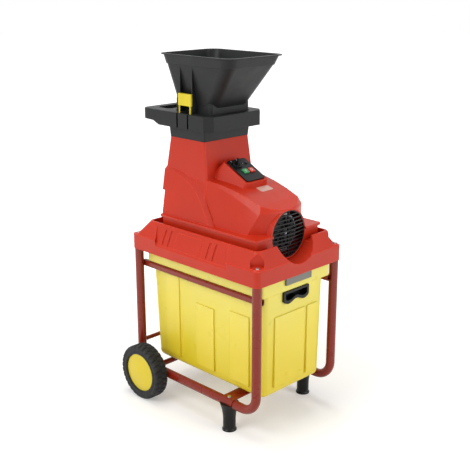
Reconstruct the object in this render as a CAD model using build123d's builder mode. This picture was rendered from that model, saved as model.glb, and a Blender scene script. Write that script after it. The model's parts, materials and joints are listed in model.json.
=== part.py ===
"""Electric silent garden shredder on a wheeled tube frame with a collection box.

Units are millimetres. X runs across the machine, -Y is the front with the motor grille and
the box handle, +Y is the rear with the wheels, and Z is up from the floor. Every Y value is
measured from the middle of the overall depth.
"""
import os
from math import acos, atan2, cos, degrees, hypot, pi, radians, sin, sqrt, tan

from build123d import *

# ---------------------------------------------------------------- driving dimensions
# Tube frame
tube_d = 25.0            # frame tube, outside diameter
tube_wall = 1.5
leg_x = 153.0            # centre of each leg, either side of the middle
leg_front_y = -238.25    # centre of the front legs
leg_rear_y = 225.75      # centre of the rear legs
bend_r = 50.0            # centreline radius of the bottom bends
wheel_r = 80.5           # the bottom rail is at axle height
leg_top_z = 470.0
slide_rail_w = 17.0      # rail that carries the box flange
slide_rail_h = 18.0
slide_rail_top = 398.0
slide_rail_in = 10.0     # outer face of the rail, in from the middle of the legs
strap_w = 42.0
strap_t = 2.5
foot_y = -139.0
foot_bottom_r = 20.0
foot_waist_r = 17.5
foot_top_r = 27.0
cross_tube_d = 12.0
cross_tube_z = 150.0

# Wheels and axle
axle_y = 172.4
axle_d = 10.0
tyre_w = 44.0
wheel_gap = 3.5          # between the frame tube and the tyre
rim_r = 58.0
hub_cap_r = 55.5
hub_r = 17.0
axle_sleeve_d = 16.0

# Deck, the tray on top of the frame
deck_wall = 3.0
socket_wall = 2.0        # deck wall round the top of each leg
skirt_bottom = 437.0
skirt_top = 480.0
rim_top = 522.0
rim_x = 140.0            # outer edge of the raised rim at its top
rim_front_y = -228.0
rim_rear_y = 193.0
rim_t = 4.0
gutter_z = 505.0         # floor inside the rim, which carries the machine
trough_r = 70.0          # half round cradle under the motor
trough_rear_y = -66.0
well_side = 36.0         # square screw well on each corner
well_floor = 484.0
panel_high = 62.0        # recess height along its slope
panel_half = 140.0
panel_lean = 20.0        # how far the recess ends lean back
groove_places = (-106.0, -84.0, 68.0, 92.0)
groove_l = 46.0
groove_w = 10.0
groove_deep = 2.2
plate_place = -12.0      # blank raised plate between the grooves
badge_l = 100.0
badge_h = 46.0
badge_rise = 1.6
discharge_x = 50.0       # half width of the chip opening
discharge_y0 = 42.0
discharge_y1 = 138.0

# Housing
shell = 3.0
chute_top = 758.0
chute_x = 83.5
chute_y0 = 23.0
chute_y1 = 159.0
waist_z = 650.0          # where the chute meets the motor hood
waist_x = 89.0
waist_y0 = 9.5
waist_y1 = 177.0
flange_z = 537.0
flange_t = 6.5
flange_x = 127.0
flange_y0 = -211.0
flange_y1 = 162.0
flange_lip = 5.0         # how far the flange stands out of the wall below it
root_x = 108.0           # half width of the body where it meets the flange
hood_front_y = -207.0
hood_step = 1.2          # the hood's sides lie this far inside the chute's
hood_front_r = 132.0     # plan radius of the front face
body_rear_y = 162.0      # rear of the body beside the rear cover
brow_z = 600.0           # foot of the bevel over the front face
brow_lean = 0.6          # how far the bevel runs back for each mm up
bulge = 9.0              # raised lower part of each side
cover_top = 606.0
cover_top_x = 97.0       # half width of the body at the top of the rear cover
cover_t = 7.0

# Motor, on one axis behind the grille
motor_z = 536.0
boss_r = 67.0
grille_r = 63.5
grille_t = 6.0
grille_bars = 12         # louvre spaces
louvre_bow_r = 330.0     # each louvre bows forward on this radius
louvre_t = 3.2
grille_seat = -200.0     # shoulder that the grille rests against
motor_r = 52.0
motor_y0 = -176.0
motor_y1 = -72.0
rotor_r = 30.0
rotor_gap = 0.5
motor_shaft_d = 10.0
run_clear = 0.05         # radial running clearance of every shaft
bearing_w = 8.0
fan_r = 46.0

# Cutting unit
roller_x = -12.0
roller_z = 596.0
roller_r = 37.0
roller_teeth = 8
roller_shaft_d = 16.0
chamber_wall = 10.0
chamber_side = 6.0
chamber_top = 648.0
plate_gap = 1.2          # counter plate to roller
plate_t = 14.0
screw_r = 5.0            # adjuster screw
adjuster_y = 90.0
knob_r = 17.0
knob_x = 112.5           # inner face of the knob, just clear of the housing's side
plate_travel = 4.5

# Gears
module_fast = 1.25
module_slow = 2.0
teeth_pinion = 12
teeth_fast = 60
teeth_slow = 36
pressure_angle = 25.0
gear_backlash = 0.35
case_x0, case_x1 = -58.0, 74.0
case_top = 640.0
case_wall = 4.0

# Collar with the carrying handle, and hopper
collar_bottom = 758.0
collar_ring_z = 790.0
collar_top = 830.5
collar_x = 107.0
collar_y0 = -18.0
collar_cut = 20.0        # cut off each front corner of the ring
handle_y = 252.9         # rear of the carrying handle
handle_hole_x = 72.0
handle_hole_y0 = 176.0
handle_hole_y1 = 226.0
throat_x = 73.0          # outside of the hopper's throat
throat_y0 = 0.0
throat_y1 = 150.0
hopper_wall = 2.5
hopper_fit = 0.6         # play between throat and collar
throat_top = 862.0       # where the square throat starts to round into the funnel
throat_blend = 32.0
throat_corner = 12.0
funnel_corner = 28.0
ledge_z = 957.0
ledge_x = 93.0
ledge_y0 = -76.5
ledge_y1 = 172.7
ledge_step = 2.6
rim_z = 983.5
mouth_x = 107.5
mouth_y0 = -96.0
mouth_y1 = 184.0
latch_y = 83.0
latch_w = 42.0
latch_in = 90.0          # inner face of the latch's track, from the middle
latch_grip = 18.0        # how far the prongs reach into the collar

# Collection box
box_x = 121.0            # half width of the body under the flange
box_y0 = -232.0
box_y1 = 210.0
box_lift = 8.5           # underside of the box above the strap
box_wall = 2.5
box_taper = 4.0          # how far each side draws in down to the bottom
box_flange_x = 136.0
box_flange_y0 = -240.0
box_flange_y1 = 212.0
box_flange_h = 33.0
box_clear = 0.3          # flange above the slide rails
grip_x = 46.0            # half width of the box's hand hole
grip_z0 = 364.0
grip_z1 = 390.0
grip_lip = 6.0           # how far the handle's lip stands out of the box
rib_rise = 2.5           # how far the pressed ribs stand out of the box
rib_foot = 26.0
side_ribs = ((92.0, 145.0, 0.0), (-48.0, 23.0, 62.0), (-181.0, -110.0, 48.0))
front_ribs = ((-79.0, 40.0), (50.0, 91.0))
slider_w = 100.0
slider_h = 21.0
slider_t = 5.5
slider_z = 414.5
slider_travel = 10.0
peg_x = 30.0             # pegs that hold the slider in the box's rim

# Control panel
panel_w = 70.0
panel_l = 90.0
panel_t = 4.0
panel_y = -48.0          # middle of the panel
panel_z = 680.5
panel_slope = 27.5       # degrees
button_w = 17.0
start_u, stop_u = -9.0, 13.0
button_v = -8.0
dial_u, dial_v = -12.0, 24.0
reset_u, reset_v = 22.0, 24.0

screw_d = 5.0
fit = 0.2                # gap between pieces that are only placed together

# ---------------------------------------------------------------- derived places
skirt_x = leg_x + tube_d / 2 + socket_wall
skirt_y0 = leg_front_y - tube_d / 2 - socket_wall
skirt_y1 = leg_rear_y + tube_d / 2 + socket_wall
skirt_corner = tube_d / 2 + socket_wall
rail_z = wheel_r
slide_rail_out = leg_x - slide_rail_in
tyre_outer_x = leg_x + tube_d / 2 + wheel_gap + tyre_w
box_bottom = rail_z + tube_d / 2 + strap_t + box_lift
wheel_in_x = tyre_outer_x - tyre_w
wheel_mid_x = tyre_outer_x - tyre_w / 2
chamber_x = discharge_x + 2 + chamber_side
chamber_y0 = discharge_y0 - 2 - chamber_wall
chamber_y1 = discharge_y1 + 2 + chamber_wall
gearbox_rear = -8.0
gearbox_front = -58.0
cover_front = -62.0
fast_y = -46.0           # rear faces of the two gear pairs
fast_w = 10.0
slow_y = -20.0
slow_w = 22.0
panel_plane = Plane(
    origin=(0, panel_y, panel_z),
    x_dir=(1, 0, 0),
    z_dir=(0, -sin(radians(panel_slope)), cos(radians(panel_slope))),
)

os.makedirs("parts", exist_ok=True)


def save(name, part):
    """Label a finished piece and write it to its own file."""
    part.label = name
    export_step(part, f"parts/{name}.step")


def at_y(y):
    """Plane across the machine at y, drawn in X and Z, extruding towards the front."""
    return Plane.XZ.offset(-y)


def at_x(x):
    """Plane along the machine at x, drawn in Y and Z, extruding towards +X."""
    return Plane.YZ.offset(x)


def rod_y(y0, y1, r, x=0.0, z=0.0, mode=Mode.ADD):
    """Round bar along Y from y0 to y1."""
    with BuildSketch(at_y(y1)) as end:
        with Locations((x, z)):
            Circle(r)
    extrude(end.sketch, amount=y1 - y0, mode=mode)


def rod_x(x0, x1, r, y=0.0, z=0.0, mode=Mode.ADD):
    """Round bar along X from x0 to x1."""
    with BuildSketch(at_x(x0)) as end:
        with Locations((y, z)):
            Circle(r)
    extrude(end.sketch, amount=x1 - x0, mode=mode)


def rod_z(z0, z1, r, x=0.0, y=0.0, mode=Mode.ADD):
    """Round bar along Z from z0 to z1."""
    with BuildSketch(Plane.XY.offset(z0)) as end:
        with Locations((x, y)):
            Circle(r)
    extrude(end.sketch, amount=z1 - z0, mode=mode)


def block(x0, x1, y0, y1, z0, z1, mode=Mode.ADD, corner=0.0):
    """Upright block between two corners, with rounded vertical edges if asked."""
    with BuildSketch(Plane.XY.offset(z0)) as base:
        with Locations(((x0 + x1) / 2, (y0 + y1) / 2)):
            if corner:
                RectangleRounded(x1 - x0, y1 - y0, corner)
            else:
                Rectangle(x1 - x0, y1 - y0)
    extrude(base.sketch, amount=z1 - z0, mode=mode)


def frustum(sections, corner=0.0, mode=Mode.ADD):
    """Loft of rounded rectangles, each given as (z, half width, y0, y1) and its own corner if any."""
    outlines = []
    for z, half, y0, y1, *own in sections:
        with BuildSketch(Plane.XY.offset(z)) as outline:
            with Locations((0, (y0 + y1) / 2)):
                RectangleRounded(2 * half, y1 - y0, own[0] if own else corner)
        outlines.append(outline.sketch)
    loft(outlines, ruled=True, mode=mode)


def gear_points(teeth, module, turn):
    """Outline of a spur gear, one tooth centred on the angle turn, in degrees."""
    pitch_r = teeth * module / 2
    base_r = pitch_r * cos(radians(pressure_angle))
    root_r = pitch_r - 1.2 * module
    tip_r = pitch_r + 0.85 * module

    def roll(r):
        if r <= base_r:
            return 0.0
        a = acos(base_r / r)
        return tan(a) - a

    half_tooth = pi / (2 * teeth) - gear_backlash / (4 * pitch_r)
    start_r = max(base_r, root_r)
    radii = [start_r + (tip_r - start_r) * i / 3 for i in range(4)]
    flank = [(root_r, 0.0)] if root_r < base_r else []
    flank += [(r, roll(r)) for r in radii]
    points = []
    for tooth in range(teeth):
        centre = radians(turn) + 2 * pi * tooth / teeth
        rising = [(r, centre - half_tooth - roll(pitch_r) + a) for r, a in flank]
        falling = [(r, centre + half_tooth + roll(pitch_r) - a) for r, a in reversed(flank)]
        points += [(r * cos(a), r * sin(a)) for r, a in rising + falling]
    return points


def gear(y0, y1, teeth, module, turn, x, z):
    """Spur gear between y0 and y1 on the axis through x and z."""
    with BuildSketch(at_y(y1)) as outline:
        with BuildLine():
            Polyline([(x + px, z + pz) for px, pz in gear_points(teeth, module, turn)], close=True)
        make_face()
    extrude(outline.sketch, amount=y1 - y0)


# ---------------------------------------------------------------- tube frame
def side_frame(side):
    """One bent tube: front leg, bottom rail and rear leg, bored for axle, bolt and cross tube."""
    x = side * leg_x
    with BuildPart() as tube:
        with BuildLine(Plane.YZ.offset(x)) as path:
            FilletPolyline(
                (leg_front_y, leg_top_z),
                (leg_front_y, rail_z),
                (leg_rear_y, rail_z),
                (leg_rear_y, leg_top_z),
                radius=bend_r,
            )
        with BuildSketch(Plane.XY.offset(leg_top_z)):
            with Locations((x, leg_front_y)):
                Circle(tube_d / 2)
                Circle(tube_d / 2 - tube_wall, mode=Mode.SUBTRACT)
        sweep(path=path.line)
        rod_x(x - tube_d, x + tube_d, axle_d / 2 + run_clear, axle_y, rail_z, Mode.SUBTRACT)
        rod_z(rail_z - tube_d, rail_z + tube_d, screw_d / 2 + fit, x, foot_y, Mode.SUBTRACT)
    return tube.part


def slide_rail(side):
    """Flat tube between the legs that the box flange runs on, coped to fit round them."""
    inner = slide_rail_out - slide_rail_w
    with BuildPart() as rail:
        with BuildSketch(at_y(leg_rear_y)):
            with Locations((side * (inner + slide_rail_w / 2), slide_rail_top - slide_rail_h / 2)):
                RectangleRounded(slide_rail_w, slide_rail_h, 5)
                RectangleRounded(slide_rail_w - 3, slide_rail_h - 3, 3.5, mode=Mode.SUBTRACT)
        extrude(amount=leg_rear_y - leg_front_y)
        for y in (leg_front_y, leg_rear_y):
            rod_z(rail_z, leg_top_z, tube_d / 2, side * leg_x, y, Mode.SUBTRACT)
    return rail.part


for side, word in ((-1, "left"), (1, "right")):
    save(f"frame_side_{word}", side_frame(side))
    save(f"slide_rail_{word}", slide_rail(side))

# Strap across the bottom rails, its ends bent over the tubes
with BuildPart() as front_strap:
    with BuildSketch(at_y(foot_y + strap_w / 2)):
        with Locations((0, rail_z + tube_d / 2 + strap_t / 2)):
            Rectangle(2 * leg_x, strap_t)
        for x in (-leg_x, leg_x):
            with Locations((x, rail_z)):
                Circle(tube_d / 2 + strap_t)
                Circle(tube_d / 2, mode=Mode.SUBTRACT)
                with Locations((-x / leg_x * 30, 0), (0, -30)):
                    Rectangle(60, 60, mode=Mode.SUBTRACT)
        with Locations((0, rail_z + tube_d / 2 + strap_t / 2)):
            Rectangle(2 * leg_x, strap_t)
    extrude(amount=strap_w)
    for x in (-leg_x, leg_x):
        rod_z(rail_z, rail_z + tube_d, screw_d / 2 + fit, x, foot_y, Mode.SUBTRACT)
save("front_strap", front_strap.part)

# Cross tube between the rear legs
with BuildPart() as rear_cross_tube:
    rod_x(-leg_x, leg_x, cross_tube_d / 2, leg_rear_y, cross_tube_z)
    rod_x(-leg_x, leg_x, cross_tube_d / 2 - tube_wall, leg_rear_y, cross_tube_z, Mode.SUBTRACT)
    for x in (-leg_x, leg_x):
        rod_z(rail_z, leg_top_z, tube_d / 2, x, leg_rear_y, Mode.SUBTRACT)
save("rear_cross_tube", rear_cross_tube.part)


def foot(side):
    """Moulded foot with a saddle for the bottom rail and a rim at the floor."""
    x = side * leg_x
    top = rail_z + 2
    with BuildPart() as moulding:
        with BuildSketch(at_y(0)) as profile:
            with BuildLine():
                Polyline((0, 0), (foot_bottom_r, 0), (foot_bottom_r, 3), (foot_waist_r, 7))
                Line((foot_waist_r, 7), (foot_waist_r, 30))
                Spline((foot_waist_r, 30), (foot_top_r - 5, top - 16), (foot_top_r, top))
                Polyline((foot_top_r, top), (0, top), (0, 0))
            make_face()
        revolve(axis=Axis.Z)
    with BuildPart() as placed:
        add(moulding.part.moved(Location((x, foot_y, 0))))
        rod_y(foot_y - 2 * foot_top_r, foot_y + 2 * foot_top_r, tube_d / 2, x, rail_z, Mode.SUBTRACT)
        block(x - 40, x + 40, foot_y - 40, foot_y + 40, rail_z, rail_z + 20, Mode.SUBTRACT)
        rod_z(20, rail_z, screw_d / 2 + fit, x, foot_y, Mode.SUBTRACT)
    return placed.part


for side, word in ((-1, "left"), (1, "right")):
    save(f"foot_{word}", foot(side))

# Bolts through strap, rail and foot
with BuildPart() as foot_bolts:
    for x in (-leg_x, leg_x):
        head = rail_z + tube_d / 2 + strap_t
        rod_z(30, head, screw_d / 2, x, foot_y)
        rod_z(head, head + 3, screw_d, x, foot_y)
save("foot_bolts", foot_bolts.part)

# ---------------------------------------------------------------- wheels and axle
with BuildPart() as axle:
    rod_x(-tyre_outer_x + 6, tyre_outer_x - 6, axle_d / 2, axle_y, rail_z)
save("axle", axle.part)

with BuildPart() as axle_sleeve:
    sleeve_x = leg_x - tube_d / 2
    rod_x(-sleeve_x, sleeve_x, axle_sleeve_d / 2, axle_y, rail_z)
    rod_x(-sleeve_x, sleeve_x, axle_d / 2 + run_clear, axle_y, rail_z, Mode.SUBTRACT)
save("axle_sleeve", axle_sleeve.part)

washer_in = leg_x + tube_d / 2
washer_t = wheel_in_x - washer_in + 1.0      # the hub starts behind the tyre's inner face
with BuildPart() as axle_washers:
    for side in (-1, 1):
        x0, x1 = sorted((side * washer_in, side * (washer_in + washer_t)))
        rod_x(x0, x1, axle_d, axle_y, rail_z)
        rod_x(x0, x1, axle_d / 2 + run_clear, axle_y, rail_z, Mode.SUBTRACT)
save("axle_washers", axle_washers.part)

hub_in = washer_in + washer_t + fit
hub_out = tyre_outer_x - 12.0
with BuildPart() as axle_clips:
    for side in (-1, 1):
        x0, x1 = sorted((side * (hub_out + fit), side * (hub_out + 2)))
        rod_x(x0, x1, axle_d * 0.9, axle_y, rail_z)
        rod_x(x0, x1, axle_d / 2, axle_y, rail_z, Mode.SUBTRACT)
save("axle_clips", axle_clips.part)


def tyre(side):
    """Solid rubber tyre with rounded shoulders, seated on the rim."""
    with BuildPart() as ring:
        with BuildSketch(Plane.XY):
            with Locations(((wheel_r + rim_r) / 2, 0)):
                RectangleRounded(wheel_r - rim_r, tyre_w, 7)
        revolve(axis=Axis.Y)
    turned = ring.part.rotate(Axis.Z, 90)
    return turned.moved(Location((side * wheel_mid_x, axle_y, rail_z)))


def rim(side):
    """Wheel body: drum under the tyre, web, ribs and a hub bored for the axle."""
    x_in, x_out = wheel_in_x + 3, tyre_outer_x - 3
    with BuildPart() as wheel:
        for x0, x1, r, mode in (
            (x_in, x_out, rim_r, Mode.ADD),
            (x_in, x_out, hub_cap_r + fit, Mode.SUBTRACT),
            (wheel_mid_x - 2, wheel_mid_x + 2, rim_r - 3, Mode.ADD),
            (hub_in, hub_out, hub_r, Mode.ADD),
        ):
            low, high = sorted((side * x0, side * x1))
            rod_x(low, high, r, axle_y, rail_z, mode)
        low, high = sorted((side * (wheel_in_x + 8), side * (wheel_mid_x - 2)))
        with BuildSketch(at_x(low)):
            with Locations((axle_y, rail_z)):
                with PolarLocations((hub_r + rim_r) / 2 - 2, 6):
                    Rectangle(rim_r - hub_r - 2, 4)
        extrude(amount=high - low)
        low, high = sorted((side * (hub_in - 1), side * (hub_out + 1)))
        rod_x(low, high, axle_d / 2 + run_clear, axle_y, rail_z, Mode.SUBTRACT)
    return wheel.part


def hub_cap(side):
    """Domed cover pressed into the rim over the axle end."""
    rise = 5.0
    face = tyre_outer_x - 7.0
    dome_r = (hub_cap_r**2 + rise**2) / (2 * rise)
    with BuildPart() as cap:
        with BuildSketch(Plane.XY):
            with BuildLine():
                Line((0, 0), (hub_cap_r, 0))
                Line((hub_cap_r, 0), (hub_cap_r, 2))
                ThreePointArc(
                    (hub_cap_r, 2),
                    (hub_cap_r / 2, 2 + rise - dome_r + sqrt(dome_r**2 - hub_cap_r**2 / 4)),
                    (0, 2 + rise),
                )
                Line((0, 2 + rise), (0, 0))
            make_face()
        revolve(axis=Axis.Y)
        rod_y(-1, 2, axle_d * 1.2, mode=Mode.SUBTRACT)
    turned = cap.part.rotate(Axis.Z, -90 * side)
    return turned.moved(Location((side * face, axle_y, rail_z)))


for side, word in ((-1, "left"), (1, "right")):
    save(f"tyre_{word}", tyre(side))
    save(f"rim_{word}", rim(side))
    save(f"hub_cap_{word}", hub_cap(side))


# ---------------------------------------------------------------- deck
def deck_solid(inset, rise=0.0):
    """Outside of the deck, or the space inside it when inset by the wall."""
    grow = -inset
    with BuildPart() as solid:
        frustum(
            (
                (skirt_bottom - rise, skirt_x + grow, skirt_y0 - grow, skirt_y1 + grow),
                (skirt_top + grow, skirt_x + grow, skirt_y0 - grow, skirt_y1 + grow),
            ),
            skirt_corner + grow,
        )
        frustum(
            (
                (skirt_top + grow, skirt_x - 2 + grow, skirt_y0 + 2 - grow, skirt_y1 - 14 + grow),
                (rim_top + grow, rim_x + grow, rim_front_y - grow, rim_rear_y + grow),
            ),
            skirt_corner + grow,
        )
        # gutter inside the rim
        with BuildSketch(Plane.XY.offset(gutter_z + grow)):
            with Locations((0, (rim_front_y + rim_rear_y) / 2)):
                RectangleRounded(
                    2 * (rim_x - rim_t + inset),
                    rim_rear_y - rim_front_y - 2 * (rim_t - inset),
                    skirt_corner,
                )
        extrude(amount=rim_top, mode=Mode.SUBTRACT)
        # cradle under the motor
        rod_y(skirt_y0 - 9, trough_rear_y + inset, trough_r + inset, 0, motor_z, Mode.SUBTRACT)
        # screw wells on the front corners
        for x in (-leg_x, leg_x):
            with BuildSketch(Plane.XY.offset(well_floor + grow)):
                with Locations((x, leg_front_y)):
                    Rectangle(well_side + 2 * inset, well_side + 2 * inset, rotation=45)
            extrude(amount=rim_top, mode=Mode.SUBTRACT)
    return solid.part


def screw_seat(y):
    """Height that a deck screw's head rests at: in the front wells, on the skirt at the rear."""
    return well_floor if y == leg_front_y else skirt_top


panel_slant = degrees(atan2(26.0, 56.0))
side_panel = Plane(
    origin=(-skirt_x, -6.0, skirt_bottom + 26.0),
    x_dir=(0, -1, 0),
    z_dir=(-cos(radians(panel_slant)), 0, sin(radians(panel_slant))),
)

with BuildPart() as deck:
    add(deck_solid(0))
    # recessed panel along the left side, with a plain raised plate and finger grooves
    with BuildSketch(side_panel):
        with BuildLine():
            Polyline(
                (-panel_half, 0),
                (panel_half, 0),
                (panel_half - panel_lean, panel_high),
                (-panel_half - panel_lean, panel_high),
                close=True,
            )
        make_face()
    extrude(amount=30, mode=Mode.SUBTRACT)
    add(deck_solid(deck_wall, rise=10), mode=Mode.SUBTRACT)
    # skin behind the recess, which is deeper than the wall
    with BuildSketch(side_panel.offset(-deck_wall)):
        with Locations((-panel_lean / 2, panel_high / 2)):
            Rectangle(2 * panel_half + 40, panel_high - 12)
    extrude(amount=deck_wall)
    with BuildSketch(side_panel):
        for x in groove_places:
            with Locations((x - panel_lean / 2, panel_high / 2)):
                SlotOverall(groove_l, groove_w, rotation=90)
    extrude(amount=-groove_deep, mode=Mode.SUBTRACT)
    with BuildSketch(side_panel):
        with Locations((plate_place - panel_lean / 2, panel_high / 2)):
            RectangleRounded(badge_l, badge_h, 6)
    extrude(amount=badge_rise, taper=30)
    # chip opening
    block(
        -discharge_x,
        discharge_x,
        discharge_y0,
        discharge_y1,
        gutter_z - 20,
        gutter_z + 20,
        Mode.SUBTRACT,
    )
    # sockets over the legs
    for x in (-leg_x, leg_x):
        for y in (leg_front_y, leg_rear_y):
            rod_z(skirt_bottom, leg_top_z + 3, skirt_corner, x, y)
            rod_z(skirt_bottom - 1, leg_top_z, tube_d / 2 + run_clear, x, y, Mode.SUBTRACT)
            rod_z(leg_top_z - 1, skirt_top + 9, screw_d / 2 + fit, x, y, Mode.SUBTRACT)
            rod_z(screw_seat(y), rim_top, screw_d + 1, x, y, Mode.SUBTRACT)
save("deck", deck.part)

# Screws that hold the deck down on the legs, with the plug in each tube's top
with BuildPart() as deck_screws:
    for x in (-leg_x, leg_x):
        for y in (leg_front_y, leg_rear_y):
            seat = screw_seat(y)
            rod_z(leg_top_z - 30, seat, screw_d / 2, x, y)
            rod_z(seat, seat + 3, screw_d, x, y)
            rod_z(leg_top_z - 30, leg_top_z, tube_d / 2 - tube_wall, x, y)
save("deck_screws", deck_screws.part)


# ---------------------------------------------------------------- housing
def hood_section(y):
    """Half section of the motor hood at y: corner points (x, z) from flange to top."""
    rear, front = waist_y0, -169.0
    t = (rear - y) / (rear - front)
    drop = 7.0 * t + 31.0 * max(t, 0.0) ** 2
    top = waist_z + 7.0 - drop
    bevel = 9.0 * t
    return [
        (root_x - hood_step, flange_z - 1),
        (waist_x - hood_step - 3.0 * t, top - 5.0 - 15.0 * t),
        (waist_x - 2 * hood_step - 4.0 * t - bevel, top),
    ]


def front_envelope(inset):
    """Everything behind the round front of the hood and its bevelled brow."""
    centre_y = hood_front_y + hood_front_r
    r = hood_front_r - inset
    with BuildPart() as envelope:
        rod_z(0, brow_z, r, 0, centre_y)
        with BuildSketch(Plane.XY.offset(brow_z)) as low:
            with Locations((0, centre_y)):
                Circle(r)
        with BuildSketch(Plane.XY.offset(brow_z + 90)) as high:
            with Locations((0, centre_y)):
                Circle(r - 90 * brow_lean)
        loft([low.sketch, high.sketch], ruled=True)
        block(-250, 250, centre_y - 70, 400, 0, 900)
    return envelope.part


def housing_solid(inset):
    """Outside of the housing, or the space inside it when inset by the shell."""
    with BuildPart() as solid:
        # motor hood, lofted from section to section and cut by its round front
        slices = []
        for y in (waist_y0 + 40, waist_y0, -40.0, -85.0, -130.0, -169.0, -215.0):
            half = [(x - inset, z - inset * (z > flange_z)) for x, z in hood_section(y)]
            with BuildSketch(at_y(y)) as outline:
                with BuildLine():
                    Polyline(half + [(-x, z) for x, z in reversed(half)], close=True)
                make_face()
            slices.append(outline.sketch)
        loft(slices, ruled=True)
        add(front_envelope(inset), mode=Mode.INTERSECT)
        # chute, wider below the waist
        frustum(
            (
                (flange_z, root_x - inset, waist_y0 - 9 + inset, body_rear_y - inset),
                (cover_top, cover_top_x - inset, waist_y0 - 4 + inset, body_rear_y - inset),
                (cover_top + 6, cover_top_x - inset, waist_y0 - 4 + inset, waist_y1 - 3 - inset),
                (waist_z, waist_x - inset, waist_y0 + inset, waist_y1 - inset),
                (chute_top + inset, chute_x - inset, chute_y0 + inset, chute_y1 - inset),
            ),
            4.0 - inset / 2,
        )
        # console that carries the control panel
        with BuildSketch(panel_plane.offset(-inset)) as top:
            RectangleRounded(panel_w + 2 * (6 - inset), panel_l + 2 * (5 - inset), 6)
        extrude(top.sketch, amount=-48, taper=-18)
        # round boss for the grille, down in the cradle
        rod_y(grille_seat - 6 + inset, -118, boss_r - inset, 0, motor_z)
        # wall from the flange down to the deck, and the flange itself
        x, y0, y1 = flange_x - flange_lip, flange_y0 + flange_lip, flange_y1 - flange_lip
        top = flange_z + flange_t - shell
        block(-x + inset, x - inset, y0 + inset, y1 - inset, gutter_z - inset, top, corner=5)
        if not inset:
            top = flange_z + flange_t
            block(-flange_x, flange_x, flange_y0, flange_y1, flange_z, top, corner=6)
    return solid.part


def side_bulge():
    """Raised lower part of the right side, with a curved bevel that falls to the front."""
    lean = atan2(root_x - waist_x, waist_z - flange_z)
    face = Plane(
        origin=(root_x, 0, flange_z + flange_t),
        x_dir=(0, 1, 0),
        z_dir=(cos(lean), 0, sin(lean)),
    )
    rear = body_rear_y + 20
    with BuildPart() as plate:
        with BuildSketch(face) as outline:
            with BuildLine():
                Line((rear, -30), (rear, 131))
                ThreePointArc((rear, 131), (70, 112), (-8, 42))
                Polyline((-8, 42), (-42, -6), (-42, -30), (rear, -30))
            make_face()
        extrude(outline.sketch, amount=bulge, taper=50)
        extrude(outline.sketch, amount=-4)
        block(0, 300, -300, waist_y1 - 4, flange_z, chute_top, Mode.INTERSECT)
        block(0, 300, body_rear_y, 300, flange_z, cover_top + 3, Mode.SUBTRACT)
    return plate.part


with BuildPart() as housing:
    add(housing_solid(0))
    add(side_bulge())
    add(mirror(side_bulge(), about=Plane.YZ, mode=Mode.PRIVATE))
    add(housing_solid(shell), mode=Mode.SUBTRACT)
    # grille seat, chute mouth, bearing window, panel window and adjuster hole
    rod_y(-300, grille_seat, grille_r + fit, 0, motor_z, Mode.SUBTRACT)
    rod_y(-300, grille_seat + 20, grille_r - 6, 0, motor_z, Mode.SUBTRACT)
    block(-80, 80, chute_y0 + 4, chute_y1 - 4, chute_top - 5, chute_top + 5, Mode.SUBTRACT)
    rod_y(body_rear_y - 10, 300, 22, roller_x, roller_z - 12, Mode.SUBTRACT)
    with BuildSketch(panel_plane):
        Rectangle(panel_w - 8, panel_l - 8)
    extrude(amount=12, both=True, mode=Mode.SUBTRACT)
    rod_x(root_x - 40, 200, screw_r + 1, adjuster_y, roller_z, Mode.SUBTRACT)
save("housing", housing.part)


# Flat cover over the rear of the cutting unit
with BuildPart() as rear_cover:
    low, high = flange_z + flange_t + fit, cover_top - fit
    block(-86, 86, body_rear_y + fit, body_rear_y + cover_t, low, high, corner=2)
    for x in (-60, 60):
        block(x - 8, x + 8, body_rear_y + cover_t, body_rear_y + cover_t + 2, low + 8, high - 8)
    for x in (-78, 78):
        for z in (low + 8, high - 8):
            rod_y(0, body_rear_y + 20, 2, x, z, Mode.SUBTRACT)
save("rear_cover", rear_cover.part)

with BuildPart() as rear_cover_screws:
    for x in (-78, 78):
        for z in (low + 8, high - 8):
            rod_y(body_rear_y + cover_t, body_rear_y + cover_t + 2, 4, x, z)
            rod_y(body_rear_y + 0.5, body_rear_y + cover_t, 1.8, x, z)
save("rear_cover_screws", rear_cover_screws.part)

# Motor grille: rim, louvres bowed forward and a middle bar
with BuildPart() as grille:
    rod_y(grille_seat - grille_t, grille_seat, grille_r, 0, motor_z)
    rod_y(grille_seat - grille_t, grille_seat, grille_r - 3, 0, motor_z, Mode.SUBTRACT)
    pitch = 2 * (grille_r - 3) / grille_bars
    for row in range(1, grille_bars):
        z = motor_z - (grille_r - 3) + row * pitch
        half = sqrt((grille_r - 2) ** 2 - (z - motor_z) ** 2)
        sag = louvre_bow_r - sqrt(louvre_bow_r**2 - half**2)
        with BuildSketch(Plane.XY.offset(z - louvre_t / 2)):
            with BuildLine():
                for y, bow in ((grille_seat - 5, sag), (grille_seat - 1, sag)):
                    ThreePointArc((-half, y), (0, y - bow), (half, y))
                for x in (-half, half):
                    Line((x, grille_seat - 5), (x, grille_seat - 1))
            make_face()
        extrude(amount=louvre_t)
    block(-1.5, 1.5, grille_seat - grille_t, grille_seat - 1, motor_z - 61, motor_z + 61)
save("grille", grille.part)

# ---------------------------------------------------------------- motor
with BuildPart() as motor_stator:
    rod_y(motor_y0, motor_y1, motor_r, 0, motor_z)
    rod_y(motor_y0, motor_y1, rotor_r + rotor_gap, 0, motor_z, Mode.SUBTRACT)
save("motor_stator", motor_stator.part)

end_t = bearing_w
bearing_r = 11.0
with BuildPart() as motor_end_bells:
    for y in (motor_y0 - end_t, motor_y1):
        rod_y(y, y + end_t, motor_r, 0, motor_z)
        rod_y(y, y + end_t, bearing_r, 0, motor_z, Mode.SUBTRACT)
    block(-80, 80, trough_rear_y - deck_wall, 0, 400, gutter_z + fit, Mode.SUBTRACT)
save("motor_end_bells", motor_end_bells.part)

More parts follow.
